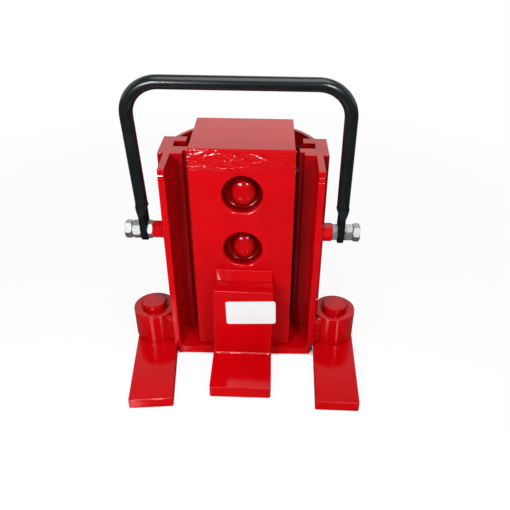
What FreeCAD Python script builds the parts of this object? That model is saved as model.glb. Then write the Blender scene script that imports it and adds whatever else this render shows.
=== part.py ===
import FreeCAD, Part
import math
import os

from FreeCAD import Vector

# Hydraulic toe jack, 10 tonne class. Millimetres, +Z up, +Y to the rear.
# The origin is on the floor, on the axis of the ram.

# Housing: base plate, side plates, guide rails and rear shell
BASE_T = 10.0
PLATE_OUT = 87.7
PLATE_T = 7.5
PLATE_IN = PLATE_OUT - PLATE_T
LIP_FRONT = -70.4
RAIL_FRONT = -27.5
RAIL_BACK = 21.5
RAIL_TOP = 254.5
LIP_CHAMFER_DEPTH = 1.6
LIP_CHAMFER_HEIGHT = 8.0
BASE_CORNER_R = 3.0
FOOT_RELIEF = 3.8
CORNER_WELD_R = 9.0
GUIDE_IN = 67.0
GUIDE_STEP_IN = 62.0
GUIDE_STEP_Y = -19.0
SLOT_HALF = 7.5
DOUBLER_T = 6.9
DOUBLER_BOTTOM = 56.0
SHELL_Y = -14.0
SHELL_R = 88.0
SHELL_T = 4.5
WINDOW_HALF = 34.0
WINDOW_TOP = 195.0

# Feet: hinge barrels, leg plates and pins
HINGE_X = 113.9
HINGE_Y = -41.1
LEG_T = 13.5
LEG_HALF = 25.2
LEFT_LEG_SHIFT = 1.4
RIGHT_LEG_SHIFT = 0.6
LEG_LENGTH = 122.3
LEG_EDGE_R = 2.0
LEFT_LEG_TURN = 4.9
RIGHT_LEG_TURN = -1.7
BARREL_R = 26.0
BARREL_BOTTOM = LEG_T + 0.5
BARREL_TOP = 53.4
BARREL_WEB_FRONT = 14.0
BARREL_WEB_REAR = 13.0
BARREL_WEB_DROP = 2.0
BARREL_SEAT_R = 17.4
BARREL_SEAT_Z = 47.0
PIN_R = 14.5
PIN_TOP = 60.9
PIN_CHAMFER = 1.2
PIN_FIT = 0.08
CLIP_Z = 47.6
CLIP_T = 1.8
CLIP_OUT_R = 16.6
CLIP_GROOVE_R = 13.4
CLIP_GAP = 5.0

# Carriage: plates, head, keys, toe and domed plugs
CARRIAGE_HALF = 56.5
HEAD_HALF = 55.4
FACE_Y = -63.5
CARRIAGE_BACK = 26.8
CARRIAGE_BOTTOM = 12.0
FRONT_PLATE_T = 22.0
SIDE_WALL_T = 13.0
HEAD_TOP = 275.5
HEAD_T = 25.0
HEAD_BOTTOM = HEAD_TOP - HEAD_T
KEY_OUT = PLATE_IN - 0.6
KEY_HALF = SLOT_HALF - 0.4
KEY_BOTTOM = 30.0
KEY_TOP = 225.0
POCKET_R = 21.9
POCKET_DEPTH = 19.0
POCKET_EDGE_R = 3.6
POCKET_HEIGHTS = (153.5, 222.6)
DOME_R = 26.0
DOME_BASE_R = 14.5
DOME_EDGE_R = 4.0
DOME_SINK = 2.0
PLUG_SHANK_R = 10.0
TOE_HALF = 34.4
TOE_TIP_HALF = 35.6
TOE_TOP = 113.5
TOE_PLATE_T = 27.2
TOE_BOTTOM = 3.3
TOE_TIP_T = 15.7
TOE_FRONT = -148.4
TOE_RELIEF_TOP = 12.5
TOE_RELIEF_Y = LIP_FRONT - 0.8
TOE_CORNER_R = 3.0
TOE_TURN = 1.3
TOE_TURN_Z = 57.0

# Carry handle and its bolts (M12)
PIVOT_Y = -57.0
PIVOT_Z = 175.4
HANDLE_LEAN = 5.1
HANDLE_R = 6.8
HANDLE_HALF = 109.8
HANDLE_REACH = 170.3
HANDLE_BEND_R = 34.0
HANDLE_TOP_SHIFT = -2.4
LUG_T = 6.0
LUG_HALF = 12.3
LUG_TAPER_START = 26.0
LUG_TAPER_END = 33.0
TAPER_OVER = 1.0
TAPER_TOP_HALF = 8.0
TAPER_CONE_R = 14.5
LUG_HOLE_R = 6.3
HEX_FLATS = 18.0
HEX_CHAMFER = 1.3
BOLT_R = 6.0
BOSS_NUT_END = 100.5
LUG_GAP = 0.5
JAM_NUT_END = HANDLE_HALF - LUG_T / 2 - LUG_GAP
LOCK_NUT_START = HANDLE_HALF + LUG_T / 2 + LUG_GAP
LOCK_NUT_END = LOCK_NUT_START + 9.5
BOLT_HEAD_START = LOCK_NUT_END + 0.7
BOLT_HEAD_END = BOLT_HEAD_START + 7.7

# How far each left and right nut or bolt head is turned about the pivot, in degrees
BOSS_NUT_TURNS = (22.0, 0.0)
JAM_NUT_TURNS = (0.0, 30.0)
LOCK_NUT_TURNS = (8.0, 30.0)
BOLT_TURNS = (-6.0, 0.0)

# Hydraulic unit: base block, cylinder, tank and ram
BLOCK_TOP = 40.0
BLOCK_HALF = 40.0
BLOCK_FRONT = -38.0
BLOCK_MID = 38.0
BLOCK_TAIL_HALF = 32.0
BLOCK_BACK = 80.0
FEED_R = 4.0
FEED_Z = 25.0
GASKET_T = 1.0
BORE_R = 22.5
CYLINDER_R = 28.5
CYLINDER_TOP = 222.0
TANK_R = 38.0
TANK_T = 3.5
CAP_T = 14.0
CAP_SPIGOT = 8.0
RAM_R = 18.0
SLIDE_GAP = 0.3
THREAD_GAP = 0.1
PISTON_BOTTOM = 46.0
PISTON_T = 24.0
SEAL_Z = 55.0
SEAL_T = 6.0
SEAL_DEPTH = 4.0
WIPER_OUT_R = 22.0
WIPER_T = 6.0
FILLER_Z = 200.0
FILLER_R = 5.0
FILLER_RIM = 2.5
FILLER_NECK = 1.0
FILLER_CAP_T = 3.0
SCREW_X = 30.0
SCREW_Y = 28.0
SCREW_R = 5.0
SCREW_HEAD_R = 9.5
SCREW_HEAD_T = 5.5
SCREW_TOP = 28.0
SCREW_GAP = 0.2
VALVE_X = 22.0
VALVE_YS = (50.0, 64.0)
VALVE_HOLE_R = 5.0
VALVE_HOLE_BOTTOM = 16.0
VALVE_BALL_R = 4.5
VALVE_PLUG_T = 10.0
RELEASE_X = -20.0
RELEASE_Z = 25.0
RELEASE_R = 6.0
RELEASE_INNER_Y = 50.0
RELEASE_NECK = 2.0
KNOB_R = 10.0
KNOB_T = 14.0
KNOB_FLUTES = 8
KNOB_FLUTE_R = 2.0

# Pump: barrel, plunger, rocker and its fulcrum
FULCRUM_Y = 47.0
FULCRUM_Z = 105.0
FULCRUM_R = 5.0
ARM = 20.0
ARM_DROP = 20.0
PLUNGER_Y = FULCRUM_Y + 19.4
PLUNGER_Z = FULCRUM_Z - ARM * math.sin(math.radians(ARM_DROP))
PLUNGER_R = 6.0
PLUNGER_BOTTOM = 48.0
EYE_HALF_X = 6.0
EYE_HALF_Y = 8.0
EYE_BOTTOM = 86.0
EYE_TOP = PLUNGER_Z + 8.5
PUMP_R = 13.0
PUMP_TOP = 70.0
GLAND_TOP = 78.0
GLAND_FLATS = 22.0
PLUNGER_FIT = 0.06
CROSS_PIN_R = 4.0
CROSS_PIN_HALF = 15.0
CHEEK_IN = 7.0
CHEEK_OUT = 13.0
CHEEK_R = 8.5
LUG_IN = 14.0
LUG_OUT = 20.0
LUG_REACH = 8.5
SOCKET_Y = 78.0
SOCKET_Z = 108.0
SOCKET_TILT = 15.0
SOCKET_R = 17.0
SOCKET_BORE_R = 13.5
SOCKET_LENGTH = 74.0
SOCKET_FLOOR = 8.0
CHEEK_TOE_Y = SOCKET_Y + 6.0
CHEEK_ALONG_SOCKET = 30.0
SLOT_REACH = 2.6
SLOT_GAP = 0.5

# Return springs
SPRING_X = 50.0
SPRING_Y = 38.0
SPRING_BOTTOM = 32.0
SPRING_TOP = 220.0
SPRING_R = 6.8
SPRING_WIRE_R = 1.3
SPRING_PITCH = 9.0
SPRING_STUD_R = 4.8
HANGER_T = 8.0
HANGER_HALF = 6.5
HANGER_RISE = 4.0
STUD_LENGTH = 16.0
ANCHOR_R = 9.0
ANCHOR_TOP = 28.0

X_AXIS = Vector(1, 0, 0)
Y_AXIS = Vector(0, 1, 0)
Z_AXIS = Vector(0, 0, 1)
ORIGIN = Vector(0, 0, 0)


# Shared shapes

def block(x0, x1, y0, y1, z0, z1):
    return Part.makeBox(x1 - x0, y1 - y0, z1 - z0, Vector(x0, y0, z0))


def upright(x, y, radius, z0, z1):
    return Part.makeCylinder(radius, z1 - z0, Vector(x, y, z0), Z_AXIS)


def crosswise(y, z, radius, x0, x1):
    return Part.makeCylinder(radius, x1 - x0, Vector(x0, y, z), X_AXIS)


def tube(x, y, outer, inner, z0, z1):
    return upright(x, y, outer, z0, z1).cut(upright(x, y, inner, z0, z1))


def prism_across(points, x0, x1):
    """A closed outline of (y, z) points, drawn out along X."""
    corners = [Vector(x0, y, z) for y, z in points]
    face = Part.Face(Part.makePolygon(corners + corners[:1]))
    return face.extrude(Vector(x1 - x0, 0, 0))


def prism_upright(points, z0, z1):
    """A closed outline of (x, y) points, drawn out along Z."""
    corners = [Vector(x, y, z0) for x, y in points]
    face = Part.Face(Part.makePolygon(corners + corners[:1]))
    return face.extrude(Vector(0, 0, z1 - z0))


def hexagon(y, z, flats, x0, x1):
    """A hexagonal bar along X with a flat on top and turned corners at both ends."""
    radius = flats / math.sqrt(3.0)
    turns = [math.radians(60.0 * k) for k in range(6)]
    points = [(y + radius * math.cos(t), z + radius * math.sin(t)) for t in turns]
    turned_bar = crosswise(y, z, radius, x0, x1)
    rims = [edge for edge in turned_bar.Edges if isinstance(edge.Curve, Part.Circle)]
    return prism_across(points, x0, x1).common(turned_bar.makeChamfer(HEX_CHAMFER, rims))


def mirrored(shape):
    return shape.mirror(ORIGIN, X_AXIS)


def pair(shape):
    """The right-hand solid and its mirror image, as one group."""
    return Part.makeCompound([shape, mirrored(shape)])


def turned(shape, centre, axis, degrees):
    copy = shape.copy()
    copy.rotate(centre, axis, degrees)
    return copy


def straight_edges(shape, axis, test):
    """The straight edges along an axis whose middle point passes the test."""
    found = []
    for edge in shape.Edges:
        if not isinstance(edge.Curve, Part.Line):
            continue
        if abs(abs(edge.Curve.Direction.dot(axis)) - 1.0) > 1e-6:
            continue
        if test(edge.CenterOfMass):
            found.append(edge)
    return found


# Housing

def base_screw_hole(x, y, gap):
    shank = upright(x, y, SCREW_R + gap, 0, SCREW_TOP + gap)
    head = Part.makeCone(SCREW_HEAD_R + gap, SCREW_R + gap, SCREW_HEAD_T, Vector(x, y, 0), Z_AXIS)
    return shank.fuse(head)


def base_screw_places():
    return [(sx * SCREW_X, sy * SCREW_Y) for sx in (-1, 1) for sy in (-1, 1)]


def base_plate():
    """The floor of the housing, with a round rear under the shell and a tongue under the base block."""
    half = PLATE_OUT - FOOT_RELIEF
    front = block(-half, half, LIP_FRONT, RAIL_BACK, 0, BASE_T)
    disc = upright(0, SHELL_Y, SHELL_R, 0, BASE_T)
    rear = disc.common(block(-SHELL_R, SHELL_R, RAIL_BACK, SHELL_Y + SHELL_R, 0, BASE_T))
    tongue = block(-BLOCK_TAIL_HALF, BLOCK_TAIL_HALF, RAIL_BACK, BLOCK_BACK, 0, BASE_T)
    plate = front.multiFuse([rear, tongue]).removeSplitter()
    corners = straight_edges(plate, Z_AXIS, lambda p: p.y < LIP_FRONT + 1)
    plate = plate.makeFillet(BASE_CORNER_R, corners)
    for x, y in base_screw_places():
        plate = plate.cut(base_screw_hole(x, y, SCREW_GAP))
    return plate


def corner_weld():
    """The concave fillet between a side plate's foot and the base plate, on the right."""
    square = block(PLATE_IN - CORNER_WELD_R, PLATE_IN, LIP_FRONT, RAIL_FRONT, BASE_T, BASE_T + CORNER_WELD_R)
    scoop = Part.makeCylinder(CORNER_WELD_R, RAIL_FRONT - LIP_FRONT,
                              Vector(PLATE_IN - CORNER_WELD_R, LIP_FRONT, BASE_T + CORNER_WELD_R), Y_AXIS)
    return square.cut(scoop)


def side_plate():
    """One side of the housing. Its foot stands back so that the swivelling leg clears it."""
    outline = [
        (LIP_FRONT, BASE_T),
        (RAIL_BACK, BASE_T),
        (RAIL_BACK, RAIL_TOP),
        (LIP_FRONT + LIP_CHAMFER_DEPTH, RAIL_TOP),
        (LIP_FRONT, RAIL_TOP - LIP_CHAMFER_HEIGHT),
    ]
    plate = prism_across(outline, PLATE_IN, PLATE_OUT)
    return plate.cut(block(PLATE_OUT - FOOT_RELIEF, PLATE_OUT, LIP_FRONT, RAIL_BACK, BASE_T, BARREL_BOTTOM))


def front_guide():
    outline = [
        (PLATE_IN, RAIL_FRONT),
        (PLATE_IN, -SLOT_HALF),
        (GUIDE_STEP_IN, -SLOT_HALF),
        (GUIDE_STEP_IN, GUIDE_STEP_Y),
        (GUIDE_IN, GUIDE_STEP_Y),
        (GUIDE_IN, RAIL_FRONT),
    ]
    return prism_upright(outline, BASE_T, RAIL_TOP)


def rear_guide():
    return block(GUIDE_IN, PLATE_IN, SLOT_HALF, RAIL_BACK, BASE_T, RAIL_TOP)


def doubler():
    return block(PLATE_OUT, PLATE_OUT + DOUBLER_T, RAIL_FRONT, RAIL_BACK, DOUBLER_BOTTOM, RAIL_TOP)


def rear_shell():
    ring = tube(0, SHELL_Y, SHELL_R, SHELL_R - SHELL_T, BASE_T, RAIL_TOP)
    behind = block(-SHELL_R, SHELL_R, RAIL_BACK, SHELL_Y + SHELL_R + 1, BASE_T, RAIL_TOP)
    window = block(-WINDOW_HALF, WINDOW_HALF, 0, SHELL_R, BASE_T, WINDOW_TOP - WINDOW_HALF)
    arch = Part.makeCylinder(WINDOW_HALF, SHELL_R, Vector(0, 0, WINDOW_TOP - WINDOW_HALF), Y_AXIS)
    return ring.common(behind).cut(window.fuse(arch))


def hinge_barrel():
    barrel = upright(HINGE_X, HINGE_Y, BARREL_R, BARREL_BOTTOM, BARREL_TOP)
    web = block(PLATE_OUT, HINGE_X, HINGE_Y - BARREL_WEB_FRONT, HINGE_Y + BARREL_WEB_REAR,
                BARREL_BOTTOM, BARREL_TOP - BARREL_WEB_DROP)
    bore = upright(HINGE_X, HINGE_Y, PIN_R + PIN_FIT, BARREL_BOTTOM, BARREL_TOP)
    seat = upright(HINGE_X, HINGE_Y, BARREL_SEAT_R, BARREL_SEAT_Z, BARREL_TOP)
    return barrel.fuse(web).cut(bore).cut(seat).removeSplitter()


# Feet

def leg_plate(side, shift, degrees):
    x = side * HINGE_X
    bar = block(x - LEG_HALF, x + LEG_HALF, HINGE_Y - LEG_LENGTH, HINGE_Y, 0, LEG_T)
    heel = upright(x, HINGE_Y, LEG_HALF, 0, LEG_T)
    leg = bar.fuse(heel).removeSplitter()
    tips = straight_edges(leg, Z_AXIS, lambda p: p.y < HINGE_Y - LEG_LENGTH + 1)
    leg = leg.makeFillet(LEG_EDGE_R, tips)
    leg.translate(Vector(shift, 0, 0))
    return turned(leg, Vector(x, HINGE_Y, 0), Z_AXIS, degrees)


def leg_pin(side):
    x = side * HINGE_X
    pin = upright(x, HINGE_Y, PIN_R, LEG_T, PIN_TOP)
    top = [e for e in pin.Edges if abs(e.CenterOfMass.z - PIN_TOP) < 1e-6]
    pin = pin.makeChamfer(PIN_CHAMFER, top)
    return pin.cut(tube(x, HINGE_Y, BARREL_R, CLIP_GROOVE_R, CLIP_Z, CLIP_Z + CLIP_T))


def pin_clip(side):
    x = side * HINGE_X
    ring = tube(x, HINGE_Y, CLIP_OUT_R, CLIP_GROOVE_R, CLIP_Z, CLIP_Z + CLIP_T)
    gap = block(x - CLIP_GAP / 2, x + CLIP_GAP / 2, HINGE_Y, HINGE_Y + BARREL_R, CLIP_Z, CLIP_Z + CLIP_T)
    return ring.cut(gap)


# Carriage

def front_plate():
    inner = FACE_Y + FRONT_PLATE_T
    plate = block(-CARRIAGE_HALF, CARRIAGE_HALF, FACE_Y, inner, CARRIAGE_BOTTOM, HEAD_BOTTOM)
    for z in POCKET_HEIGHTS:
        pocket = Part.makeCylinder(POCKET_R, POCKET_DEPTH, Vector(0, FACE_Y, z), Y_AXIS)
        shank = Part.makeCylinder(PLUG_SHANK_R, FRONT_PLATE_T, Vector(0, FACE_Y, z), Y_AXIS)
        plate = plate.cut(pocket).cut(shank)
    rims = []
    for edge in plate.Edges:
        on_face = abs(edge.CenterOfMass.y - FACE_Y) < 1e-3
        if on_face and isinstance(edge.Curve, Part.Circle):
            rims.append(edge)
    return plate.makeFillet(POCKET_EDGE_R, rims)


def dome_plug(z):
    """A round-headed plug: a post with a domed top on the pocket's floor, and a shank through the plate."""
    floor = FACE_Y + POCKET_DEPTH
    ball_y = FACE_Y + DOME_SINK + DOME_R
    ball = Part.makeSphere(DOME_R, Vector(0, ball_y, z))
    post = Part.makeCylinder(DOME_BASE_R, POCKET_DEPTH - DOME_SINK, Vector(0, FACE_Y + DOME_SINK, z), Y_AXIS)
    shank_length = FRONT_PLATE_T - POCKET_DEPTH
    shank = Part.makeCylinder(PLUG_SHANK_R - THREAD_GAP, shank_length, Vector(0, floor, z), Y_AXIS)
    head = ball.common(post)
    rim = [e for e in head.Edges if isinstance(e.Curve, Part.Circle) and e.CenterOfMass.y < floor - 1]
    return head.makeFillet(DOME_EDGE_R, rim).fuse(shank)


def carriage_side():
    front = FACE_Y + FRONT_PLATE_T
    inner = CARRIAGE_HALF - SIDE_WALL_T
    return block(inner, CARRIAGE_HALF, front, CARRIAGE_BACK, CARRIAGE_BOTTOM, HEAD_BOTTOM)


def head_plate():
    return block(-HEAD_HALF, HEAD_HALF, FACE_Y, CARRIAGE_BACK, HEAD_BOTTOM, HEAD_TOP)


def guide_key():
    return block(CARRIAGE_HALF, KEY_OUT, -KEY_HALF, KEY_HALF, KEY_BOTTOM, KEY_TOP)


def toe():
    """The L-shaped lifting toe: a plate and a wider tip, welded on a little askew.

    Its heel is relieved to clear the base plate's front edge.
    """
    plate_front = FACE_Y - TOE_PLATE_T
    tip_top = TOE_BOTTOM + TOE_TIP_T
    plate = block(-TOE_HALF, TOE_HALF, plate_front, FACE_Y, TOE_RELIEF_TOP, TOE_TOP)
    tip = block(-TOE_TIP_HALF, TOE_TIP_HALF, TOE_FRONT, TOE_RELIEF_Y, TOE_BOTTOM, tip_top)
    tips = straight_edges(tip, Z_AXIS, lambda p: p.y < TOE_FRONT + 1)
    body = plate.fuse(tip.makeFillet(TOE_CORNER_R, tips))
    return turned(body, Vector(0, FACE_Y, TOE_TURN_Z), Y_AXIS, TOE_TURN)


def spring_hanger():
    """A lug on the carriage's back edge with a stud that holds the spring's top."""
    lug = block(SPRING_X - HANGER_HALF, SPRING_X + HANGER_HALF, CARRIAGE_BACK, SPRING_Y + HANGER_HALF,
                SPRING_TOP + HANGER_RISE, SPRING_TOP + HANGER_RISE + HANGER_T)
    stud = upright(SPRING_X, SPRING_Y, SPRING_STUD_R, SPRING_TOP - STUD_LENGTH, SPRING_TOP + HANGER_RISE)
    return lug.fuse(stud)


# Carry handle

def flat_lug(side):
    """A flattened end of the bar, with its rounded tip and bolt hole, in the upright position."""
    x0 = side * HANDLE_HALF - LUG_T / 2
    x1 = side * HANDLE_HALF + LUG_T / 2
    round_tip = crosswise(PIVOT_Y, PIVOT_Z, LUG_HALF, x0, x1)
    flat = block(x0, x1, PIVOT_Y - LUG_HALF, PIVOT_Y + LUG_HALF, PIVOT_Z, PIVOT_Z + LUG_TAPER_START)
    return round_tip.fuse(flat)


def handle_foot(side):
    """Where the round bar begins, above the taper of one lug."""
    return Vector(side * HANDLE_HALF, PIVOT_Y, PIVOT_Z + LUG_TAPER_END)


def handle_corner(side):
    """Where the lines of one leg and of the grip meet."""
    return Vector(side * HANDLE_HALF + HANDLE_TOP_SHIFT, PIVOT_Y, PIVOT_Z + HANDLE_REACH)


def tapering_bar(low_half):
    """A bar along X whose half width goes from the lug's, below, to the round bar's, above."""
    low = LUG_TAPER_START
    high = LUG_TAPER_END + TAPER_OVER
    outline = [(-low_half, low), (low_half, low), (TAPER_TOP_HALF, high), (-TAPER_TOP_HALF, high)]
    return prism_across(outline, -LUG_HALF, LUG_HALF)


def lug_taper(side):
    """The stretch between the flat lug and the round bar: a cone with two pairs of flats."""
    flats = tapering_bar(LUG_HALF).common(turned(tapering_bar(LUG_T / 2), ORIGIN, Z_AXIS, 90))
    flats.translate(Vector(side * HANDLE_HALF, PIVOT_Y, PIVOT_Z))
    foot = handle_foot(side)
    length = LUG_TAPER_END - LUG_TAPER_START + TAPER_OVER
    cone = Part.makeCone(HANDLE_R, TAPER_CONE_R, length, foot, foot - handle_corner(side))
    return flats.common(cone)


def bar_run(start, end):
    return Part.makeCylinder(HANDLE_R, (end - start).Length, start, end - start)


def bent_bar():
    """The round bar from one taper to the other: straight runs joined by two bends."""
    points = [handle_foot(-1), handle_corner(-1), handle_corner(1), handle_foot(1)]
    runs = []
    start = points[0]
    for before, corner, after in zip(points, points[1:], points[2:]):
        into = (corner - before).normalize()
        out = (after - corner).normalize()
        turn = into.getAngle(out)
        setback = HANDLE_BEND_R * math.tan(turn / 2)
        bend_start = corner - into * setback
        axis = into.cross(out).normalize()
        centre = bend_start + axis.cross(into) * HANDLE_BEND_R
        section = Part.Face(Part.Wire([Part.makeCircle(HANDLE_R, bend_start, into)]))
        runs.append(bar_run(start, bend_start))
        runs.append(section.revolve(centre, axis, math.degrees(turn)))
        start = corner + out * setback
    runs.append(bar_run(start, points[-1]))
    return runs[0].multiFuse(runs[1:])


def carry_handle():
    handle = bent_bar()
    for side in (-1, 1):
        handle = handle.fuse(lug_taper(side)).fuse(flat_lug(side))
    hole = crosswise(PIVOT_Y, PIVOT_Z, LUG_HOLE_R, -HANDLE_HALF - LUG_T, HANDLE_HALF + LUG_T)
    handle = handle.cut(hole).removeSplitter()
    return turned(handle, Vector(0, PIVOT_Y, PIVOT_Z), X_AXIS, HANDLE_LEAN)


def handle_nut(x0, x1):
    nut = hexagon(PIVOT_Y, PIVOT_Z, HEX_FLATS, x0, x1)
    return nut.cut(crosswise(PIVOT_Y, PIVOT_Z, BOLT_R + THREAD_GAP, x0, x1))


def tightened(shape, turns):
    """A fastener and its mirror image, each turned about the pivot as it was left when tightened."""
    left_turn, right_turn = turns
    centre = Vector(0, PIVOT_Y, PIVOT_Z)
    left = turned(mirrored(shape), centre, X_AXIS, left_turn)
    right = turned(shape, centre, X_AXIS, right_turn)
    return Part.makeCompound([right, left])


def handle_bolt():
    head = hexagon(PIVOT_Y, PIVOT_Z, HEX_FLATS, BOLT_HEAD_START, BOLT_HEAD_END)
    return head.fuse(crosswise(PIVOT_Y, PIVOT_Z, BOLT_R, PLATE_OUT, BOLT_HEAD_START))


# Hydraulic unit

def jack_base():
    body = block(-BLOCK_HALF, BLOCK_HALF, BLOCK_FRONT, BLOCK_MID, BASE_T, BLOCK_TOP)
    tail = block(-BLOCK_TAIL_HALF, BLOCK_TAIL_HALF, BLOCK_MID, BLOCK_BACK, BASE_T, BLOCK_TOP)
    body = body.fuse(tail).removeSplitter()
    body = body.cut(upright(0, 0, FEED_R, FEED_Z, BLOCK_TOP))
    body = body.cut(Part.makeCylinder(FEED_R, PLUNGER_Y, Vector(0, 0, FEED_Z), Y_AXIS))
    body = body.cut(upright(0, PLUNGER_Y, FEED_R, FEED_Z, BLOCK_TOP))
    for y in VALVE_YS:
        body = body.cut(upright(VALVE_X, y, VALVE_HOLE_R, VALVE_HOLE_BOTTOM, BLOCK_TOP))
    for x, y in base_screw_places():
        body = body.cut(base_screw_hole(x, y, SCREW_GAP))
    release = Part.makeCylinder(RELEASE_R + SLIDE_GAP, BLOCK_BACK - RELEASE_INNER_Y + SLIDE_GAP,
                                Vector(RELEASE_X, RELEASE_INNER_Y - SLIDE_GAP, RELEASE_Z), Y_AXIS)
    return body.cut(release)


def base_screws():
    return Part.makeCompound([base_screw_hole(x, y, 0) for x, y in base_screw_places()])


def valve_balls():
    z = VALVE_HOLE_BOTTOM + VALVE_BALL_R
    return Part.makeCompound([Part.makeSphere(VALVE_BALL_R, Vector(VALVE_X, y, z)) for y in VALVE_YS])


def valve_plugs():
    radius = VALVE_HOLE_R - THREAD_GAP
    bottom = BLOCK_TOP - VALVE_PLUG_T
    return Part.makeCompound([upright(VALVE_X, y, radius, bottom, BLOCK_TOP) for y in VALVE_YS])


def cylinder_gasket():
    return tube(0, 0, CYLINDER_R, BORE_R, BLOCK_TOP, BLOCK_TOP + GASKET_T)


def cylinder_tube():
    return tube(0, 0, CYLINDER_R, BORE_R, BLOCK_TOP + GASKET_T, CYLINDER_TOP - CAP_SPIGOT)


def filler_hole(radius, y0, y1):
    return Part.makeCylinder(radius, y1 - y0, Vector(0, y0, FILLER_Z), Y_AXIS)


def tank_tube():
    wall = tube(0, 0, TANK_R, TANK_R - TANK_T, BLOCK_TOP, CYLINDER_TOP)
    return wall.cut(filler_hole(FILLER_R + THREAD_GAP, 0, TANK_R))


def filler_plug():
    seat = TANK_R + FILLER_NECK
    stem = filler_hole(FILLER_R, TANK_R - TANK_T, seat)
    cap = filler_hole(FILLER_R + FILLER_RIM, seat, seat + FILLER_CAP_T)
    return stem.fuse(cap)


def tank_cap():
    cap = upright(0, 0, TANK_R, CYLINDER_TOP, CYLINDER_TOP + CAP_T)
    spigot = upright(0, 0, TANK_R - TANK_T - THREAD_GAP, CYLINDER_TOP - CAP_SPIGOT, CYLINDER_TOP)
    cap = cap.fuse(spigot)
    cap = cap.cut(upright(0, 0, RAM_R + SLIDE_GAP, CYLINDER_TOP - CAP_SPIGOT, CYLINDER_TOP + CAP_T))
    return cap.cut(upright(0, 0, WIPER_OUT_R, CYLINDER_TOP + CAP_T - WIPER_T, CYLINDER_TOP + CAP_T))


def rod_wiper():
    top = CYLINDER_TOP + CAP_T
    return tube(0, 0, WIPER_OUT_R - THREAD_GAP, RAM_R + SLIDE_GAP, top - WIPER_T, top)


def ram():
    return upright(0, 0, RAM_R, PISTON_BOTTOM + PISTON_T, HEAD_BOTTOM)


def piston():
    body = upright(0, 0, BORE_R - SLIDE_GAP, PISTON_BOTTOM, PISTON_BOTTOM + PISTON_T)
    return body.cut(tube(0, 0, BORE_R, BORE_R - SEAL_DEPTH, SEAL_Z, SEAL_Z + SEAL_T))


def piston_seal():
    return tube(0, 0, BORE_R - SLIDE_GAP, BORE_R - SEAL_DEPTH, SEAL_Z, SEAL_Z + SEAL_T)


def release_screw():
    length = BLOCK_BACK + RELEASE_NECK - RELEASE_INNER_Y
    return Part.makeCylinder(RELEASE_R, length, Vector(RELEASE_X, RELEASE_INNER_Y, RELEASE_Z), Y_AXIS)


def release_knob():
    """A fluted knob on the end of the release screw."""
    start = BLOCK_BACK + RELEASE_NECK
    knob = Part.makeCylinder(KNOB_R, KNOB_T, Vector(RELEASE_X, start, RELEASE_Z), Y_AXIS)
    for k in range(KNOB_FLUTES):
        turn = 2 * math.pi * k / KNOB_FLUTES
        place = Vector(RELEASE_X + KNOB_R * math.cos(turn), start, RELEASE_Z + KNOB_R * math.sin(turn))
        knob = knob.cut(Part.makeCylinder(KNOB_FLUTE_R, KNOB_T, place, Y_AXIS))
    return knob


# Pump

def pump_barrel():
    return tube(0, PLUNGER_Y, PUMP_R, PLUNGER_R + PLUNGER_FIT, BLOCK_TOP, PUMP_TOP)


def pump_gland_nut():
    radius = GLAND_FLATS / math.sqrt(3.0)
    turns = [math.radians(60.0 * k) for k in range(6)]
    points = [(radius * math.cos(t), PLUNGER_Y + radius * math.sin(t)) for t in turns]
    nut = prism_upright(points, PUMP_TOP, GLAND_TOP)
    return nut.cut(upright(0, PLUNGER_Y, PLUNGER_R + SLIDE_GAP, PUMP_TOP, GLAND_TOP))


def pump_plunger():
    rod = upright(0, PLUNGER_Y, PLUNGER_R, PLUNGER_BOTTOM, EYE_BOTTOM)
    eye = block(-EYE_HALF_X, EYE_HALF_X, PLUNGER_Y - EYE_HALF_Y, PLUNGER_Y + EYE_HALF_Y, EYE_BOTTOM, EYE_TOP)
    return rod.fuse(eye).cut(crosswise(PLUNGER_Y, PLUNGER_Z, CROSS_PIN_R, -EYE_HALF_X, EYE_HALF_X))


def plunger_pin():
    return crosswise(PLUNGER_Y, PLUNGER_Z, CROSS_PIN_R, -CROSS_PIN_HALF, CROSS_PIN_HALF)


def fulcrum_lug():
    foot = block(LUG_IN, LUG_OUT, FULCRUM_Y - LUG_REACH, FULCRUM_Y + LUG_REACH, BLOCK_TOP, FULCRUM_Z)
    crown = crosswise(FULCRUM_Y, FULCRUM_Z, LUG_REACH, LUG_IN, LUG_OUT)
    return foot.fuse(crown).cut(crosswise(FULCRUM_Y, FULCRUM_Z, FULCRUM_R, LUG_IN, LUG_OUT)).removeSplitter()


def fulcrum_pin():
    return crosswise(FULCRUM_Y, FULCRUM_Z, FULCRUM_R, -LUG_OUT, LUG_OUT)


def rocker_cheek():
    """One cheek of the rocker: round at the fulcrum, wide under the socket."""
    tilt = math.radians(SOCKET_TILT)
    side_y = SOCKET_Y + CHEEK_ALONG_SOCKET * math.cos(tilt)
    side_z = SOCKET_Z + CHEEK_ALONG_SOCKET * math.sin(tilt)
    outline = [
        (FULCRUM_Y, FULCRUM_Z - CHEEK_R),
        (PLUNGER_Y, PLUNGER_Z - CHEEK_R),
        (CHEEK_TOE_Y, PLUNGER_Z - CHEEK_R),
        (side_y, side_z),
        (FULCRUM_Y, FULCRUM_Z + CHEEK_R),
    ]
    cheek = prism_across(outline, CHEEK_IN, CHEEK_OUT)
    return cheek.fuse(crosswise(FULCRUM_Y, FULCRUM_Z, CHEEK_R, CHEEK_IN, CHEEK_OUT)).removeSplitter()


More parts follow.
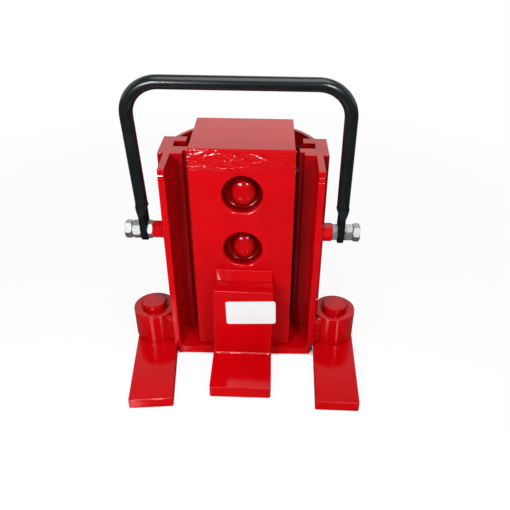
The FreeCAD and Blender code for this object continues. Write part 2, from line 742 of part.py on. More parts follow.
def pin_slot():
    """The slot that lets the plunger's pin stay upright while the rocker turns."""
    height = CROSS_PIN_R + SLOT_GAP
    near = PLUNGER_Y - SLOT_REACH
    far = PLUNGER_Y + SLOT_REACH
    slot = block(-CHEEK_OUT, CHEEK_OUT, near, far, PLUNGER_Z - height, PLUNGER_Z + height)
    for y in (near, far):
        slot = slot.fuse(crosswise(y, PLUNGER_Z, height, -CHEEK_OUT, CHEEK_OUT))
    return turned(slot, Vector(0, PLUNGER_Y, PLUNGER_Z), X_AXIS, -ARM_DROP)


def pump_rocker():
    tilt = math.radians(SOCKET_TILT)
    along = Vector(0, math.cos(tilt), math.sin(tilt))
    mouth = Vector(0, SOCKET_Y, SOCKET_Z)
    socket = Part.makeCylinder(SOCKET_R, SOCKET_LENGTH, mouth, along)
    rocker = socket.fuse(rocker_cheek()).fuse(mirrored(rocker_cheek()))
    bore = Part.makeCylinder(SOCKET_BORE_R, SOCKET_LENGTH, mouth + along * SOCKET_FLOOR, along)
    hinge = crosswise(FULCRUM_Y, FULCRUM_Z, FULCRUM_R + PIN_FIT, -CHEEK_OUT, CHEEK_OUT)
    return rocker.cut(bore).cut(hinge).cut(pin_slot()).removeSplitter()


# Return springs

def return_spring(side):
    helix = Part.makeHelix(SPRING_PITCH, SPRING_TOP - SPRING_BOTTOM, SPRING_R)
    section = Part.Wire([Part.makeCircle(SPRING_WIRE_R, Vector(SPRING_R, 0, 0), Y_AXIS)])
    spring = Part.Wire(helix.Edges).makePipeShell([section], True, True)
    spring.translate(Vector(side * SPRING_X, SPRING_Y, SPRING_BOTTOM))
    return spring


def spring_anchor():
    """A collared stud on the base plate that holds the spring's bottom."""
    collar = upright(SPRING_X, SPRING_Y, ANCHOR_R, BASE_T, ANCHOR_TOP)
    return collar.fuse(upright(SPRING_X, SPRING_Y, SPRING_STUD_R, ANCHOR_TOP, SPRING_BOTTOM + STUD_LENGTH))


def all_nodes():
    nodes = {
        "base_plate": base_plate(),
        "corner_welds": pair(corner_weld()),
        "rear_shell": rear_shell(),
        "handle_boss_nuts": tightened(handle_nut(PLATE_OUT, BOSS_NUT_END), BOSS_NUT_TURNS),
        "handle_jam_nuts": tightened(handle_nut(BOSS_NUT_END, JAM_NUT_END), JAM_NUT_TURNS),
        "handle_lock_nuts": tightened(handle_nut(LOCK_NUT_START, LOCK_NUT_END), LOCK_NUT_TURNS),
        "handle_bolts": tightened(handle_bolt(), BOLT_TURNS),
        "carry_handle": carry_handle(),
        "carriage_front_plate": front_plate(),
        "dome_plugs": Part.makeCompound([dome_plug(z) for z in POCKET_HEIGHTS]),
        "head_plate": head_plate(),
        "toe": toe(),
        "spring_hangers": pair(spring_hanger()),
        "spring_anchors": pair(spring_anchor()),
        "jack_base": jack_base(),
        "jack_base_screws": base_screws(),
        "valve_balls": valve_balls(),
        "valve_plugs": valve_plugs(),
        "cylinder_gasket": cylinder_gasket(),
        "cylinder_tube": cylinder_tube(),
        "tank_tube": tank_tube(),
        "filler_plug": filler_plug(),
        "tank_cap": tank_cap(),
        "rod_wiper": rod_wiper(),
        "ram": ram(),
        "piston": piston(),
        "piston_seal": piston_seal(),
        "release_screw": release_screw(),
        "release_knob": release_knob(),
        "pump_barrel": pump_barrel(),
        "pump_gland_nut": pump_gland_nut(),
        "pump_plunger": pump_plunger(),
        "plunger_pin": plunger_pin(),
        "fulcrum_lugs": pair(fulcrum_lug()),
        "fulcrum_pin": fulcrum_pin(),
        "pump_rocker": pump_rocker(),
    }
    handed = {
        "side_plate": side_plate(),
        "front_guide": front_guide(),
        "rear_guide": rear_guide(),
        "doubler": doubler(),
        "hinge_barrel": hinge_barrel(),
        "carriage_side": carriage_side(),
        "guide_key": guide_key(),
    }
    for name, shape in handed.items():
        nodes["right_" + name] = shape
        nodes["left_" + name] = mirrored(shape)
    nodes["left_leg_plate"] = leg_plate(-1, LEFT_LEG_SHIFT, LEFT_LEG_TURN)
    nodes["right_leg_plate"] = leg_plate(1, RIGHT_LEG_SHIFT, RIGHT_LEG_TURN)
    for name, side in (("left", -1), ("right", 1)):
        nodes[name + "_leg_pin"] = leg_pin(side)
        nodes[name + "_pin_clip"] = pin_clip(side)
        nodes[name + "_return_spring"] = return_spring(side)
    return nodes


os.makedirs("parts", exist_ok=True)
for node_name, node_shape in all_nodes().items():
    node_shape.exportStep("parts/" + node_name + ".step")
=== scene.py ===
import math

import bmesh
import bpy
from mathutils import Matrix, Vector, noise


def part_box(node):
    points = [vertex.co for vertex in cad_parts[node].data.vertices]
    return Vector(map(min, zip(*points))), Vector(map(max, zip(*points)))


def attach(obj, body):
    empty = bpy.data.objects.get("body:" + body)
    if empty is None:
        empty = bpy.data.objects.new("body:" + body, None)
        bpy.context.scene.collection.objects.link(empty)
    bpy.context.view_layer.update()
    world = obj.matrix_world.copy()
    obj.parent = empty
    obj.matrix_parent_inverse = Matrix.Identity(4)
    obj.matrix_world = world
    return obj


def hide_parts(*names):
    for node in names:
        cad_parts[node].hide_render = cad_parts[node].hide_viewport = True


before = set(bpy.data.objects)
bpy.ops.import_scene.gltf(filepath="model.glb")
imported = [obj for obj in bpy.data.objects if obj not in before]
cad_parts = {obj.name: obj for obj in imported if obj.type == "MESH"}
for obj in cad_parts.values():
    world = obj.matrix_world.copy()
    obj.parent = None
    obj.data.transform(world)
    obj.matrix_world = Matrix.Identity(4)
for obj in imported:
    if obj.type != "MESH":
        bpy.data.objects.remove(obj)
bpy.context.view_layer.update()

MM = 0.001
LOW, HIGH = range(2)
X, Y, Z = range(3)


# Sizes and places of the CAD parts that the pieces sit on, in millimetres

def box_mm(node_name):
    """The lowest and the highest corner of a CAD node at rest, to the nearest thousandth."""
    return [[round(value / MM, 3) for value in corner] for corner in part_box(node_name)]


def middle(box, axis):
    """The middle of a box along an axis."""
    return (box[LOW][axis] + box[HIGH][axis]) / 2


side_plate = box_mm("right_side_plate")
PLATE_IN = side_plate[LOW][X]
PLATE_OUT = side_plate[HIGH][X]
LIP_FRONT = side_plate[LOW][Y]
BASE_T = box_mm("base_plate")[HIGH][Z]

barrel = box_mm("right_hinge_barrel")
BARREL_R = (barrel[HIGH][Y] - barrel[LOW][Y]) / 2
HINGE_X = barrel[HIGH][X] - BARREL_R
HINGE_Y = middle(barrel, Y)

# A leg's plate, and how far each is off its hinge and turned from straight ahead
LEG_T = box_mm("right_leg_plate")[HIGH][Z]
LEG_HALF = 25.2
LEG_LENGTH = 122.3
LEFT_LEG = (1.4, math.radians(4.9))
RIGHT_LEG = (0.6, math.radians(-1.7))

boss_nuts = box_mm("handle_boss_nuts")
PIVOT_Y = middle(boss_nuts, Y)
PIVOT_Z = middle(boss_nuts, Z)

FACE_Y = box_mm("carriage_front_plate")[LOW][Y]
HEAD_HALF = box_mm("head_plate")[HIGH][X]
HEAD_TOP = box_mm("head_plate")[HIGH][Z]
POCKET_R = 21.9
POCKET_EDGE_R = 3.6
POCKET_LEVELS = (153.5, 222.6)

# The toe as it is before it is turned, about its middle line at the last of these heights
TOE_HALF = 34.4
TOE_FRONT = box_mm("toe")[LOW][Y]
TOE_PLATE_FRONT = -90.7
TOE_TIP_TOP = 19.0
TOE_TOP = 113.5
TOE_TURN = math.radians(1.3)
TOE_TURN_Z = 57.0

# Camera, as fitted to the photograph's edges
IMAGE_SIZE = 510.0
FOCAL_PX = 565.52
PRINCIPAL_PX = (270.45, 265.34)
CAMERA_PLACE = Vector((29.29, -604.91, 505.14)) * MM
CAMERA_PITCH = math.radians(34.52)
CAMERA_YAW = math.radians(0.27)
CAMERA_ROLL = math.radians(1.12)
SENSOR_MM = 36.0


def make_camera():
    forward = Vector((
        math.sin(CAMERA_YAW) * math.cos(CAMERA_PITCH),
        math.cos(CAMERA_YAW) * math.cos(CAMERA_PITCH),
        -math.sin(CAMERA_PITCH),
    ))
    level = Vector((math.cos(CAMERA_YAW), -math.sin(CAMERA_YAW), 0.0))
    upward = level.cross(forward)
    right = math.cos(CAMERA_ROLL) * level + math.sin(CAMERA_ROLL) * upward
    up = -math.sin(CAMERA_ROLL) * level + math.cos(CAMERA_ROLL) * upward
    data = bpy.data.cameras.new("camera")
    data.sensor_width = SENSOR_MM
    data.sensor_fit = "HORIZONTAL"
    data.lens = FOCAL_PX * SENSOR_MM / IMAGE_SIZE
    data.shift_x = (IMAGE_SIZE / 2 - PRINCIPAL_PX[0]) / IMAGE_SIZE
    data.shift_y = (PRINCIPAL_PX[1] - IMAGE_SIZE / 2) / IMAGE_SIZE
    data.clip_start = 0.01
    data.clip_end = 100.0
    camera = bpy.data.objects.new("camera", data)
    turn = Matrix((right, up, -forward)).transposed().to_4x4()
    camera.matrix_world = Matrix.Translation(CAMERA_PLACE) @ turn
    bpy.context.scene.collection.objects.link(camera)
    bpy.context.scene.camera = camera


# Shader nodes

# Sockets of a node that mixes two colours
COLOUR_A = 6
COLOUR_B = 7
COLOUR_RESULT = 2


class Graph:
    """A tree of shader nodes under construction, with short ways to add and join them."""

    def __init__(self, tree):
        self.nodes = tree.nodes
        self.links = tree.links

    def add(self, kind, **values):
        """A new node with values for its sockets, whose names have low lines for spaces."""
        node = self.nodes.new("ShaderNode" + kind)
        for name, value in values.items():
            node.inputs[name.replace("_", " ")].default_value = value
        return node

    def feed(self, socket, value):
        """Sets a socket to a number or a colour, or joins another node's output to it."""
        if isinstance(value, float):
            socket.default_value = value
        elif isinstance(value, tuple):
            socket.default_value = (*value, 1.0)
        else:
            self.links.new(value, socket)

    def combine(self, operation, first, second):
        """A product, a maximum or a comparison of two outputs or numbers."""
        node = self.add("Math")
        node.operation = operation
        self.feed(node.inputs[0], first)
        self.feed(node.inputs[1], second)
        return node.outputs[0]

    def remap(self, value, low, high, to_low, to_high):
        node = self.add("MapRange", From_Min=low, From_Max=high, To_Min=to_low, To_Max=to_high)
        self.links.new(value, node.inputs["Value"])
        return node.outputs[0]

    def axes(self, place):
        """The coordinates of a place, to be picked by the names X, Y and Z."""
        node = self.add("SeparateXYZ")
        self.links.new(place, node.inputs[0])
        return node.outputs

    def mix(self, factor, first, second):
        """A mix of two shaders."""
        node = self.add("MixShader")
        self.links.new(factor, node.inputs[0])
        self.links.new(first.outputs[0], node.inputs[1])
        self.links.new(second.outputs[0], node.inputs[2])
        return node

    def background_rays(self):
        """1 for the rays that show a background: camera, glossy and transmission rays."""
        path = self.add("LightPath").outputs
        seen = self.combine("MAXIMUM", path["Is Camera Ray"], path["Is Glossy Ray"])
        return self.combine("MAXIMUM", seen, path["Is Transmission Ray"])


# Backdrop, floor and light

# Where the room that the paint reflects gets dim, as upward and backward parts of a direction
DIM_ABOVE = (0.62, 0.76)
DIM_BEFORE = (-0.45, 0.05)

FLOOR_SIZE = 40.0
FLOOR_Z = -0.0003
# Distances from the object, in metres, between which the floor's last shadow fades
SHADOW_FADES = (0.25, 0.9)
# The floor under the front of the base: half its width, its front and its back, in metres
UNDER_BASE = (0.0885, -0.0720, -0.0300)

LIT_POINT = Vector((0.0, -0.03, 0.13))


def make_world(ambient, dim):
    """A white backdrop. In reflections, the room above the object and on the camera's side is dim."""
    world = bpy.data.worlds.new("studio")
    bpy.context.scene.world = world
    world.use_nodes = True
    graph = Graph(world.node_tree)
    graph.nodes.clear()
    direction = graph.axes(graph.add("TexCoord").outputs["Generated"])
    below = graph.remap(direction["Z"], *DIM_ABOVE, 1.0, dim)
    behind = graph.remap(direction["Y"], *DIM_BEFORE, dim, 1.0)
    camera_ray = graph.add("LightPath").outputs["Is Camera Ray"]
    strength = graph.combine("MAXIMUM", camera_ray, graph.combine("MULTIPLY", below, behind))
    fill = graph.add("Background", Color=(1, 1, 1, 1), Strength=ambient)
    backdrop = graph.add("Background", Color=(1, 1, 1, 1))
    graph.links.new(strength, backdrop.inputs["Strength"])
    mixed = graph.mix(graph.background_rays(), fill, backdrop)
    graph.links.new(mixed.outputs[0], graph.add("OutputWorld").inputs["Surface"])


def floor_white(near_white, polish):
    """White that takes a faint shadow near the object and the full one under the base.

    Far away it is all white. The polish shows the lamps and the backdrop to the glossy paint.
    """
    material = bpy.data.materials.new("floor_white")
    material.use_nodes = True
    graph = Graph(material.node_tree)
    graph.nodes.clear()
    place = graph.add("TexCoord").outputs["Object"]
    distance = graph.add("VectorMath")
    distance.operation = "LENGTH"
    graph.links.new(place, distance.inputs[0])
    share = graph.remap(distance.outputs["Value"], *SHADOW_FADES, near_white, 1.0)
    half_width, front, back = UNDER_BASE
    axes = graph.axes(place)
    across = graph.combine("ABSOLUTE", axes["X"], 0.0)
    beside = graph.combine("GREATER_THAN", across, half_width)
    before = graph.combine("LESS_THAN", axes["Y"], front)
    behind = graph.combine("GREATER_THAN", axes["Y"], back)
    open_floor = graph.combine("MAXIMUM", beside, graph.combine("MAXIMUM", before, behind))
    share = graph.combine("MULTIPLY", share, open_floor)
    matt = graph.add("BsdfDiffuse", Color=(0.92, 0.92, 0.92, 1))
    glow = graph.add("Emission", Strength=1.0)
    white = graph.mix(graph.combine("MULTIPLY", graph.background_rays(), share), matt, glow)
    mirror = graph.add("BsdfGlossy", Roughness=0.05, Color=(0.06, 0.06, 0.06, 1))
    glossy_ray = graph.add("LightPath").outputs["Is Glossy Ray"]
    surface = graph.mix(graph.combine("MULTIPLY", glossy_ray, polish), white, mirror)
    graph.links.new(surface.outputs[0], graph.add("OutputMaterial").inputs["Surface"])
    return material


def make_floor():
    bpy.ops.mesh.primitive_plane_add(size=FLOOR_SIZE, location=(0, 0, FLOOR_Z))
    floor = bpy.context.object
    floor.name = "floor"
    floor.data.materials.append(floor_white(near_white=0.9, polish=0.95))


def area_light(name, place, width, height, power):
    """A soft box that looks at the middle of the object. Its place is in metres."""
    data = bpy.data.lights.new(name, "AREA")
    data.shape = "RECTANGLE"
    data.size = width
    data.size_y = height
    data.energy = power
    light = bpy.data.objects.new(name, data)
    light.location = place
    away = Vector(place) - LIT_POINT
    light.rotation_euler = away.to_track_quat("Z", "Y").to_euler()
    bpy.context.scene.collection.objects.link(light)


def make_studio():
    """Two lamps beside the camera and a soft box overhead."""
    make_world(ambient=0.04, dim=0.14)
    make_floor()
    area_light("lamp_left", (-0.27, -0.59, 0.44), width=0.19, height=0.11, power=3.3)
    area_light("lamp_right", (0.40, -0.80, 0.64), width=0.15, height=0.12, power=4.1)
    area_light("overhead", (0.1, -0.20, 1.20), width=1.0, height=0.7, power=8.8)


# Materials

# Most of a noise pattern lies between the first two values, and its clear patches between the others
NOISE_SPREAD = (0.3, 0.7)
PATCH_SPREAD = (0.35, 0.65)


class Recipe(Graph):
    """A material under construction. It starts from the shader that every new material has."""

    def __init__(self, name):
        self.material = bpy.data.materials.new(name)
        self.material.use_nodes = True
        super().__init__(self.material.node_tree)
        self.shader = self.nodes["Principled BSDF"]
        self.place = self.add("TexCoord").outputs["Object"]

    def set(self, **values):
        for name, value in values.items():
            self.shader.inputs[name.replace("_", " ")].default_value = value

    def link(self, output, socket):
        self.links.new(output, self.shader.inputs[socket])

    def stretched(self, x, y, z):
        mapping = self.add("Mapping", Scale=(x, y, z))
        self.links.new(self.place, mapping.inputs["Vector"])
        return mapping.outputs[0]

    def noise(self, scale, detail, place=None):
        node = self.add("TexNoise", Scale=scale, Detail=detail)
        self.links.new(place or self.place, node.inputs["Vector"])
        return node.outputs["Fac"]

    def patches(self, scale, detail):
        return self.remap(self.noise(scale, detail), *PATCH_SPREAD, 0.0, 1.0)

    def blend(self, factor, first, second, how="MIX"):
        """Mixes two colours, each a tuple or another node's output."""
        node = self.add("Mix")
        node.data_type = "RGBA"
        node.blend_type = how
        self.feed(node.inputs["Factor"], factor)
        self.feed(node.inputs[COLOUR_A], first)
        self.feed(node.inputs[COLOUR_B], second)
        return node.outputs[COLOUR_RESULT]

    def bump(self, height, strength, distance, normal=None):
        node = self.add("Bump", Strength=strength, Distance=distance)
        self.links.new(height, node.inputs["Height"])
        if normal is not None:
            self.links.new(normal, node.inputs["Normal"])
        return node.outputs[0]

    def colour(self, pattern, first, second):
        self.link(self.blend(pattern, first, second), "Base Color")

    def roughness(self, pattern, low, high):
        self.link(self.remap(pattern, *NOISE_SPREAD, low, high), "Roughness")

    def grain(self, pattern, strength, distance):
        self.link(self.bump(pattern, strength, distance), "Normal")


RED_COATS = ((0.48, 0.0004, 0.003), (0.42, 0.0003, 0.002))
RED_SPECKS = (0.36, 0.0003, 0.002)

# Painted shade: between these depths, in metres along Y, the pockets' paint goes from the first to the second
# brightness
POCKET_SHADE = (-0.0605, -0.0550, 0.88, 0.36)

# The handle's ends are flattened below the first of these heights, in metres; above the second it is round
FLATTENED_BELOW = (0.208, 0.216)


def enamel_colour(r):
    """Uneven coats of red, with a few dust specks."""
    coats = r.blend(r.patches(16.0, 3.0), *RED_COATS)
    specks = r.remap(r.noise(900.0, 1.0), 0.66, 0.74, 0.0, 0.5)
    return r.blend(specks, coats, RED_SPECKS)


def enamel_skin(r):
    """The sprayed enamel's gloss, with slow waves and orange peel."""
    r.roughness(r.noise(45.0, 3.0), 0.09, 0.16)
    waves = r.bump(r.noise(38.0, 1.0), 0.10, 0.0012)
    peel = r.bump(r.noise(420.0, 2.0), 0.05, 0.0006, waves)
    r.link(peel, "Normal")
    r.set(IOR=1.5, Specular_Tint=(1.0, 0.55, 0.58, 1.0))


def red_paint():
    """Glossy red enamel, sprayed on steel plate."""
    r = Recipe("red_enamel")
    r.link(enamel_colour(r), "Base Color")
    enamel_skin(r)
    return r.material


def shaded_pocket_paint():
    """The same enamel in the pockets, with painted shade: darker with depth."""
    r = Recipe("red_enamel_deep")
    shade = r.remap(r.axes(r.place)["Y"], *POCKET_SHADE)
    r.link(r.blend(1.0, enamel_colour(r), shade, how="MULTIPLY"), "Base Color")
    enamel_skin(r)
    return r.material


def thick_paint():
    """The same enamel where it lies thick on welds and edges: smoother, with white glints."""
    r = Recipe("red_enamel_thick")
    r.link(enamel_colour(r), "Base Color")
    r.set(Roughness=0.09, IOR=1.5, Specular_IOR_Level=0.75, Specular_Tint=(1.0, 0.9, 0.9, 1.0))
    return r.material


def black_paint():
    """Satin black coat on the bent bar, with a fine grain and rubbed patches; dull on the flattened ends."""
    r = Recipe("black_satin")
    rubbed = r.remap(r.noise(26.0, 4.0), 0.5, 0.75, 0.0, 1.0)
    r.colour(rubbed, (0.0040, 0.0066, 0.0080), (0.0080, 0.0112, 0.0128))
    height = r.axes(r.place)["Z"]
    r.link(r.remap(height, *FLATTENED_BELOW, 0.65, 0.25), "Roughness")
    r.link(r.remap(height, *FLATTENED_BELOW, 0.06, 0.46), "Specular IOR Level")
    r.grain(r.noise(1300.0, 2.0), 0.12, 0.0003)
    r.set(IOR=1.5)
    return r.material


def zinc_plate():
    """Bright zinc on fasteners: cloudy, with a faint grey-green cast and a fine grain."""
    r = Recipe("zinc_bright")
    r.colour(r.patches(120.0, 3.0), (0.46, 0.48, 0.48), (0.38, 0.39, 0.38))
    r.roughness(r.noise(260.0, 3.0), 0.54, 0.66)
    r.grain(r.noise(900.0, 2.0), 0.05, 0.0003)
    r.set(Metallic=1.0)
    return r.material


def machined_steel():
    """Turned and milled steel under a film of oil."""
    r = Recipe("machined_steel")
    r.colour(r.patches(30.0, 3.0), (0.50, 0.49, 0.47), (0.36, 0.34, 0.32))
    r.roughness(r.noise(70.0, 3.0), 0.26, 0.42)
    r.grain(r.noise(300.0, 2.0, r.stretched(1.0, 1.0, 9.0)), 0.15, 0.0003)
    r.set(Metallic=1.0)
    return r.material


def greased_steel():
    """Sliding steel under old grease, in a dark red that also serves as painted shade for the deep gap
    between the carriage and a rail.
    """
    r = Recipe("greased_steel")
    # Dark red colours: partly the grease's own tone, partly painted shade for the gap the keys sit in
    r.colour(r.patches(40.0, 4.0), (0.16, 0.006, 0.006), (0.08, 0.005, 0.005))
    r.roughness(r.noise(90.0, 3.0), 0.28, 0.50)
    r.grain(r.noise(160.0, 3.0), 0.20, 0.0006)
    return r.material


def chrome_rod():
    """Ground and plated rod, with fine rings left by the grinding wheel."""
    r = Recipe("chrome_plate")
    rings = r.noise(500.0, 1.0, r.stretched(0.05, 0.05, 8.0))
    r.colour(r.noise(50.0, 2.0), (0.66, 0.68, 0.70), (0.56, 0.58, 0.60))
    r.roughness(rings, 0.06, 0.14)
    r.grain(rings, 0.03, 0.0002)
    r.set(Metallic=1.0)
    return r.material


def spring_steel():
    """Drawn spring wire, dark and oiled."""
    r = Recipe("spring_wire")
    r.colour(r.noise(90.0, 2.0), (0.24, 0.24, 0.25), (0.15, 0.15, 0.16))
    r.roughness(r.noise(200.0, 2.0), 0.30, 0.45)
    r.set(Metallic=1.0)
    return r.material


def seal_rubber():
    """Black rubber with a dusty bloom."""
    r = Recipe("seal_rubber")
    r.colour(r.noise(110.0, 3.0), (0.016, 0.016, 0.017), (0.035, 0.034, 0.033))
    r.roughness(r.noise(150.0, 2.0), 0.55, 0.75)
    r.grain(r.noise(800.0, 2.0), 0.10, 0.0003)
    return r.material


def brass():
    """Plain brass, slightly tarnished."""
    r = Recipe("brass")
    r.colour(r.noise(80.0, 3.0), (0.70, 0.48, 0.20), (0.52, 0.34, 0.13))
    r.roughness(r.noise(180.0, 2.0), 0.24, 0.40)
    r.set(Metallic=1.0)
    return r.material


def label_film():
    """A blank white vinyl label: faintly mottled, with a slightly uneven gloss."""
    r = Recipe("label_white")
    r.colour(r.noise(200.0, 4.0), (0.66, 0.67, 0.68), (0.62, 0.63, 0.65))
    r.roughness(r.noise(70.0, 2.0), 0.30, 0.42)
    r.grain(r.noise(160.0, 2.0), 0.06, 0.0004)
    return r.material


MATERIALS = {
    "red_paint": red_paint(),
    "black_paint": black_paint(),
    "zinc_plate": zinc_plate(),
    "machined_steel": machined_steel(),
    "greased_steel": greased_steel(),
    "chrome_rod": chrome_rod(),
    "spring_steel": spring_steel(),
    "seal_rubber": seal_rubber(),
    "brass": brass(),
}
RED_PAINT = MATERIALS["red_paint"]
THICK_PAINT = thick_paint()


def dress_nodes():
    """Gives every CAD node the finish of its own slot in the record."""
    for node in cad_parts.values():
        for place in node.material_slots:
            place.material = MATERIALS[place.material.name]


# Softened edges on the painted plates

SOFT_EDGES = {
    "base_plate": 0.9,
    "toe": 1.2,
    "head_plate": 0.8,
    "carriage_front_plate": 0.8,
    "left_carriage_side": 0.6,
    "right_carriage_side": 0.6,
    "rear_shell": 0.8,
    "left_hinge_barrel": 0.9,
    "right_hinge_barrel": 0.9,
    "left_leg_plate": 1.1,
    "right_leg_plate": 1.1,
    "handle_boss_nuts": 0.4,
    "pump_rocker": 0.7,
    "fulcrum_lugs": 0.6,
    "spring_hangers": 0.5,
}
RAIL_EDGE = 0.9
EDGE_SEGMENTS = 3
SHARP_ANGLE = math.radians(40)
FLAT_ANGLE = math.radians(0.5)
SAME_POINT = 1e-5


def smooth_normals_group():
    """Drops the flat shading that comes with the CAD meshes, so that the softened edges catch light."""
    group = bpy.data.node_groups.new("smooth_normals", "GeometryNodeTree")
    group.interface.new_socket("Geometry", in_out="INPUT", socket_type="NodeSocketGeometry")
    group.interface.new_socket("Geometry", in_out="OUTPUT", socket_type="NodeSocketGeometry")
    start = group.nodes.new("NodeGroupInput")
    normal = group.nodes.new("GeometryNodeSetMeshNormal")
    normal.inputs["Remove Custom"].default_value = True
    end = group.nodes.new("NodeGroupOutput")
    group.links.new(start.outputs[0], normal.inputs["Mesh"])
    group.links.new(normal.outputs[0], end.inputs[0])
    return group


SMOOTH_NORMALS = smooth_normals_group()


def soften(node, width):
    """Rounds an object's sharp edges by a width in millimetres. Its own mesh stays as it is."""
    weld = node.modifiers.new("weld", "WELD")
    weld.merge_threshold = SAME_POINT
    flat = node.modifiers.new("flat_faces", "DECIMATE")
    flat.decimate_type = "DISSOLVE"
    flat.angle_limit = FLAT_ANGLE
    bevel = node.modifiers.new("soft_edges", "BEVEL")
    bevel.width = width * MM
    bevel.segments = EDGE_SEGMENTS
    bevel.limit_method = "ANGLE"
    bevel.angle_limit = SHARP_ANGLE
    smooth = node.modifiers.new("smooth", "NODES")
    smooth.node_group = SMOOTH_NORMALS
    weights = node.modifiers.new("face_weights", "WEIGHTED_NORMAL")
    weights.keep_sharp = False


# Helpers for the pieces that the plain plates lack

def add_piece(name, points, faces, body, paint):
    """A new smooth mesh from points in millimetres, which moves with a body.
    """
    mesh = bpy.data.meshes.new(name)
    mesh.from_pydata([Vector(p) * MM for p in points], [], faces)
    mesh.polygons.foreach_set("use_smooth", [True] * len(mesh.polygons))
    mesh.materials.append(paint)
    piece = bpy.data.objects.new(name, mesh)
    bpy.context.scene.collection.objects.link(piece)
    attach(piece, body)
    return piece


def grid_faces(lines, row, ring=True, closed=False, flip=False, start=0):
    """Faces over lines of points, with a row of as many points in each.

    A ring joins the last line to the first, and a closed line joins its last point to its first.
    """
    faces = []
    for k in range(lines if ring else lines - 1):
        here = start + k * row
        after = start + (k + 1) % lines * row
        for i in range(row if closed else row - 1):
            j = (i + 1) % row
            if flip:
                faces.append((here + i, after + i, after + j, here + j))
            else:
                faces.append((here + i, here + j, after + j, after + i))
    return faces


def loft(name, sections, body, paint=THICK_PAINT):
    """A closed solid through a row of closed outlines with equal numbers of points."""
    count = len(sections[0])
    faces = grid_faces(len(sections), count, ring=False, closed=True)
    last = (len(sections) - 1) * count
    faces.append(tuple(reversed(range(count))))
    faces.append(tuple(range(last, last + count)))
    points = [p for section in sections for p in section]
    return add_piece(name, points, faces, body, paint)


def facet(piece):
    """Flat faces instead of smooth ones."""
    piece.data.polygons.foreach_set("use_smooth", [False] * len(piece.data.polygons))


def wander(*place):
    """A smooth, repeatable unevenness between about -1 and 1."""
    return noise.noise(Vector(place))


def between(low, high, step):
    """Evenly spaced values from low to high, with a spacing close to the step."""
    count = max(2, round((high - low) / step))
    return [low + (high - low) * k / count for k in range(count + 1)]


def clamp(value):
    """The value, held between 0 and 1."""
    return min(1.0, max(0.0, value))


def rounded_end(x, half, length):
    """A factor that closes a bead with a round end."""
    left = max(0.0, half - abs(x))
    return math.sqrt(max(0.02, 1.0 - (1.0 - min(1.0, left / length)) ** 2))


def askew(x, y, z):
    """The place of a point of the toe, which is welded on a little askew."""
    rise = z - TOE_TURN_Z
    turned_x = x * math.cos(TOE_TURN) + rise * math.sin(TOE_TURN)
    turned_z = TOE_TURN_Z + rise * math.cos(TOE_TURN) - x * math.sin(TOE_TURN)
    return (turned_x, y, turned_z)


# Rails

def seamless_rail(side):
    """One rail with its side plate, guides and doubler under a single coat of paint."""
    names = [side + part for part in ("_side_plate", "_front_guide", "_rear_guide", "_doubler")]
    nodes = [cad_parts[name] for name in names]
    joined = bpy.data.objects.new("joined", nodes[0].data)
    joined.matrix_world = nodes[0].matrix_world
    bpy.context.scene.collection.objects.link(joined)
    for node in nodes[1:]:
        union = joined.modifiers.new("union", "BOOLEAN")
        union.operation = "UNION"
        union.solver = "EXACT"
        union.object = node
    view = bpy.context.evaluated_depsgraph_get()
    mesh = bpy.data.meshes.new_from_object(joined.evaluated_get(view))
    mesh.transform(nodes[0].matrix_world)
    bpy.data.objects.remove(joined)
    mesh.name = side + "_rail"
    mesh.materials.clear()
    mesh.materials.append(RED_PAINT)
    rail = bpy.data.objects.new(side + "_rail", mesh)
    bpy.context.scene.collection.objects.link(rail)
    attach(rail, "housing")
    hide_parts(*names)
    soften(rail, RAIL_EDGE)


# Pockets in the carriage

PLUG_TURNS = 96
# How far the domes are off the pockets' middles, to the right, and how uneven they are
PLUG_OFFSET = 1.8
PLUG_UNEVEN = 0.5
# The trough round a plug: its depth below the plug, how much deeper it is above, its inner radius, and how
# far the lining of the wall lies off it and behind the face
TROUGH_DEPTH = 12.0
TROUGH_LEAN = 6.0
PLUG_SIDE = 14.0
LINING_T = 0.3
LINING_FRONT = 4.2

RIM_TURNS = 200
RIM_STEPS = 12
# The paint on a pocket's rim: how thick it is, how lumpy, and how many lumps there are across a radius
RIM_COAT = 0.20
RIM_LUMP = 0.34
RIM_LUMPS = 7.0


def plug_profile(cap_r, sink, edge_r, side_r, trough_r):
    """Half the section of a plug, as radius and depth: domed cap, rolled edge, and trough up to the wall."""
    wall = POCKET_R - LINING_T
    roll = math.asin((side_r - edge_r) / (cap_r - edge_r))
    edge_depth = sink + cap_r - (cap_r - edge_r) * math.cos(roll)
    trough = (wall + side_r) / 2
    trough_half = (wall - side_r) / 2
    profile = []
    for k in range(17):
        t = roll * k / 16
        profile.append((cap_r * math.sin(t), sink + cap_r - cap_r * math.cos(t)))
    for k in range(1, 13):
        t = roll + (math.pi / 2 - roll) * k / 12
        profile.append((side_r - edge_r + edge_r * math.sin(t), edge_depth - edge_r * math.cos(t)))
    for k in range(25):
        t = math.pi * k / 24
        depth = TROUGH_DEPTH - trough_r + trough_r * math.sin(t)
        profile.append((trough - trough_half * math.cos(t), depth))
    profile.append((POCKET_R - 0.05, LINING_FRONT))
    return profile


def plug_points(profile, level, stretch):
    """The profile turned about a pocket's axis, with an oval and uneven dome, as hand work is."""
    points = []
    for k in range(PLUG_TURNS):
        angle = 2 * math.pi * k / PLUG_TURNS
        for radius, depth in profile:
            inner = max(0.0, 1.0 - (radius / POCKET_R) ** 2)
            x = radius * math.cos(angle) * (1.0 - stretch * inner) + PLUG_OFFSET * inner
            z = radius * math.sin(angle) * (1.0 + stretch * inner)
            uneven = PLUG_UNEVEN * wander(x * 0.09, z * 0.09, level) * inner
            beside = clamp((radius - PLUG_SIDE) / 2.5)
            inside = clamp((depth - LINING_FRONT) / 4.0)
            lean = TROUGH_LEAN * beside * inside * (1.0 + math.sin(angle)) / 2
            points.append((x, FACE_Y + depth + uneven + lean, level + z))
    return points


